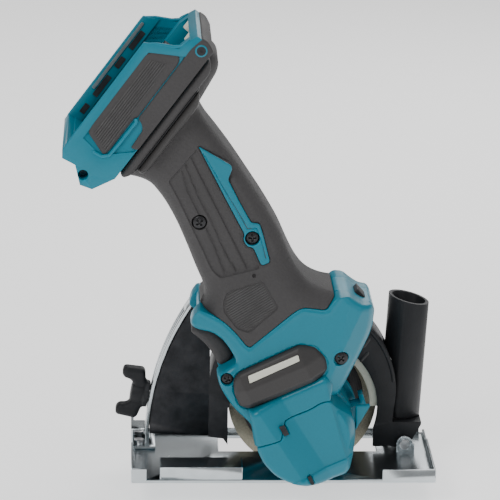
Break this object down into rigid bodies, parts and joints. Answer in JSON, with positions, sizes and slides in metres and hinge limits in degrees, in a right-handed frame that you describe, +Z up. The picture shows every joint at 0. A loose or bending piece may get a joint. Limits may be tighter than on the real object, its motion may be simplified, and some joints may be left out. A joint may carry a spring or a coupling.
{
  "type": "cordless disc saw",
  "caption": "Compact cordless saw with an 85 mm diamond disc: folded steel base, tilting guard with depth clamp, geared motor head, upright handle with battery foot.",
  "frame": {"origin": "on the sole's underside, on the cut line, straight below the depth pivot", "axes": "+X forward in the direction of cut, +Y towards the disc side, +Z up from the sole"},
  "size_m": [0.2071, 0.0932, 0.2719],
  "materials": {
    "zinc_steel": "bright zinc plate with a faint blue cast",
    "machined_steel": "turned steel",
    "blue_plastic": "satin moulded plastic",
    "black_plastic": "fine-grained black plastic",
    "dark_grip": "matte soft-touch elastomer",
    "pale_plastic": "off-white plastic",
    "lens_plastic": "milky light cover",
    "cast_aluminium": "die-cast",
    "disc_black": "black coated steel",
    "diamond_rim": "sintered bronze and diamond grit",
    "black_steel": "black oxide",
    "copper_winding": "enamelled wire",
    "contact_brass": "plated contacts",
    "board_green": "circuit board",
    "lead_red": "insulated wire",
    "magnet_grey": "ferrite"
  },
  "bodies": {
    "base": {"base_plate": "zinc_steel", "rule_holder": "zinc_steel", "pivot_ear_near": "zinc_steel", "pivot_ear_far": "zinc_steel", "pivot_pin": "machined_steel", "rear_bracket": "zinc_steel", "bracket_bolts": "machined_steel", "depth_guide": "zinc_steel"},
    "disc": {"spindle": "machined_steel", "crown_wheel": "machined_steel", "inner_flange": "machined_steel", "disc_core": "disc_black", "disc_rim": "diamond_rim", "outer_flange": "machined_steel", "disc_bolt": "black_steel"},
    "motor": {"motor_shaft": "machined_steel", "motor_armature": "copper_winding", "motor_fan": "pale_plastic", "motor_pinion": "machined_steel"},
    "knob": {"depth_knob": "black_plastic"},
    "trigger_body": {"trigger": "dark_grip"},
    "lock_off": {"lock_off_button": "black_plastic"},
    "spindle_lock": {"lock_button": "blue_plastic"},
    "saw": {"knob_stud": "machined_steel", "spindle_bearings": "machined_steel", "rail_strips": "machined_steel", "motor_can": "machined_steel", "gear_cover": "blue_plastic", "head_shell_near": "blue_plastic", "head_shell_far": "blue_plastic", "accent_near": "blue_plastic", "accent_far": "blue_plastic", "battery_foot": "blue_plastic", "blade_guard": "black_plastic", "guard_cover": "black_plastic", "rear_fender": "black_plastic", "dust_nozzle": "black_plastic", "cover_insert": "black_plastic", "badge_panel": "black_plastic", "terminal_block": "black_plastic", "motor_end_bell": "black_plastic", "handle_shell_near": "dark_grip", "handle_shell_far": "dark_grip", "grip_near": "dark_grip", "grip_far": "dark_grip", "neck_pad_near": "dark_grip", "neck_pad_far": "dark_grip", "foot_pads": "dark_grip", "guard_liner": "pale_plastic", "battery_bumpers": "pale_plastic", "trigger_switch": "pale_plastic", "light_lens": "lens_plastic", "gear_case": "cast_aluminium", "guard_screws": "black_steel", "case_screws": "black_steel", "terminal_blades": "contact_brass", "light_board": "board_green", "motor_leads": "lead_red", "motor_magnets": "magnet_grey"}
  },
  "joints": [
    {"name": "depth_adjust", "type": "hinge", "parent": "base", "child": "saw", "pos_m": [0, 0, 0.007], "axis": [0, 1, 0], "range_deg": [0, 15]},
    {"name": "disc_spin", "type": "hinge", "parent": "saw", "child": "disc", "pos_m": [-0.058, 0, 0.0283], "axis": [0, 1, 0], "continuous": true},
    {"name": "motor_spin", "type": "hinge", "parent": "saw", "child": "motor", "pos_m": [-0.058, -0.042, 0.0283], "axis": [-0.342, 0, 0.9397], "continuous": true},
    {"name": "knob_turn", "type": "hinge", "parent": "saw", "child": "knob", "pos_m": [-0.14758, -0.007, 0.03382], "axis": [-0.9839, 0, 0.1788], "range_deg": [0, 180]},
    {"name": "trigger_pull", "type": "slide", "parent": "saw", "child": "trigger_body", "axis": [0.8211, 0, 0.5708], "range_m": [0, 0.0035], "stiffness_N_per_m": 1500},
    {"name": "lock_off_press", "type": "slide", "parent": "saw", "child": "lock_off", "axis": [-0.7507, 0, -0.6606], "range_m": [0, 0.0025], "stiffness_N_per_m": 1200},
    {"name": "spindle_lock_press", "type": "slide", "parent": "saw", "child": "spindle_lock", "axis": [-0.9563, 0, -0.2924], "range_m": [0, 0.0025], "stiffness_N_per_m": 1200}
  ],
  "couplings": [
    {"joint": "motor_spin", "follows": "disc_spin", "ratio": -4}
  ]
}
